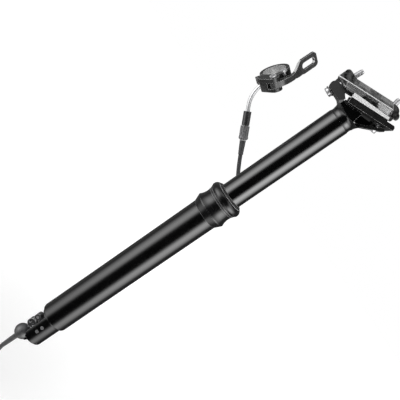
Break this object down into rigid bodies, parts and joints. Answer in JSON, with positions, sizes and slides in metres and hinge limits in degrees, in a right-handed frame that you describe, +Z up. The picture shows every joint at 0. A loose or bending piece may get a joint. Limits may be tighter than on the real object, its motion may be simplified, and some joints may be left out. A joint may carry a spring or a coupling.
{
  "type": "dropper seatpost",
  "caption": "Height-adjustable bicycle seatpost with a two-bolt saddle clamp, cable actuator at its foot, coiled cable housing and a thumb remote for the handlebar.",
  "frame": {"origin": "on the post's axis at the collar's lower rim, where the seat tube ends when the post is fully inserted", "axes": "+Z up along the post, +X to the bicycle's front, +Y to its left"},
  "size_m": [0.114, 0.0885, 0.5588],
  "materials": {
    "black_anodised": "satin black anodised aluminium",
    "stanchion_black": "gloss black anodised aluminium",
    "machined": "bare machined aluminium",
    "steel": "bright steel",
    "black_steel": "blackened steel",
    "rubber": "matte black rubber",
    "housing_black": "black plastic cover of the cable housing",
    "strap": "black strap",
    "bushing": "grey bearing plastic",
    "brass": "brass",
    "noodle_steel": "polished stainless tube"
  },
  "bodies": {
    "post": {"outer_tube": "black_anodised", "collar": "black_anodised", "wiper_seal": "rubber", "upper_bushing": "bushing", "cartridge_rod": "steel", "actuator_housing": "black_anodised", "pivot_bracket": "black_steel", "actuator_pivot_pin": "steel", "housing_screw_1": "steel", "housing_screw_2": "steel", "housing_screw_3": "steel", "housing_screw_4": "steel", "cable_stop": "black_anodised", "foot_boot": "rubber", "housing_lead": "housing_black", "housing_coil": "housing_black", "housing_tail": "housing_black", "coil_tie": "strap", "adjuster_boot": "rubber", "noodle_sleeve": "black_anodised", "noodle": "noodle_steel", "remote_body": "black_anodised", "clamp_bolt": "steel", "lever_pivot_bolt": "steel", "body_screw": "steel"},
    "sliding_post": {"stanchion": "stanchion_black", "lower_bushing": "bushing", "cartridge_body": "machined", "guide_key_1": "brass", "guide_key_2": "brass", "guide_key_3": "brass", "front_washer": "black_steel"},
    "front_bolt_body": {"front_bolt": "steel"},
    "rear_bolt_body": {"rear_bolt": "steel"},
    "saddle_clamp": {"lower_cradle": "black_anodised", "upper_jaw_left": "black_anodised", "upper_jaw_right": "black_anodised", "front_barrel_nut": "machined", "rear_barrel_nut": "machined"},
    "remote_lever": {"thumb_lever": "black_anodised", "cable_nipple": "brass"},
    "adjuster": {"barrel_adjuster": "black_anodised"},
    "actuator": {"actuator_lever": "black_steel", "anchor_pin": "steel"},
    "valve": {"valve_pin": "steel"}
  },
  "joints": [
    {"name": "post_slide", "type": "slide", "parent": "post", "child": "sliding_post", "axis": [0, 0, 1], "range_m": [-0.11, 0]},
    {"name": "saddle_tilt", "type": "hinge", "parent": "sliding_post", "child": "saddle_clamp", "pos_m": [0.00722, 0, 0.17796], "axis": [0, 1, 0], "range_deg": [-1, 2]},
    {"name": "front_bolt_turn", "type": "hinge", "parent": "sliding_post", "child": "front_bolt_body", "pos_m": [0.02743, 0, 0.148], "axis": [-0.0815, 0, 0.9967], "range_deg": [-180, 180]},
    {"name": "rear_bolt_turn", "type": "hinge", "parent": "sliding_post", "child": "rear_bolt_body", "pos_m": [-0.0226, 0, 0.1666], "axis": [0.2359, 0, 0.9718], "range_deg": [-180, 180]},
    {"name": "lever_press", "type": "hinge", "parent": "post", "child": "remote_lever", "pos_m": [0.06353, -0.02129, 0.12284], "axis": [-0.8535, -0.4153, -0.3147], "range_deg": [0, 18], "stiffness_Nm_per_rad": 0.35, "springref_deg": -20.05},
    {"name": "adjuster_turn", "type": "hinge", "parent": "post", "child": "adjuster", "pos_m": [0.03717, -0.0315, 0.06707], "axis": [0.7145, 0, 0.6997], "range_deg": [-360, 360]},
    {"name": "actuator_swing", "type": "hinge", "parent": "post", "child": "actuator", "pos_m": [-0.0076, 0, -0.1995], "axis": [0, 1, 0], "range_deg": [0, 8.1]},
    {"name": "valve_pull", "type": "slide", "parent": "post", "child": "valve", "axis": [0, 0, -1], "range_m": [0, 0.0011]}
  ],
  "couplings": [
    {"joint": "actuator_swing", "follows": "lever_press", "ratio": 0.444},
    {"joint": "valve_pull", "follows": "lever_press", "m_per_rad": 0.00337}
  ]
}
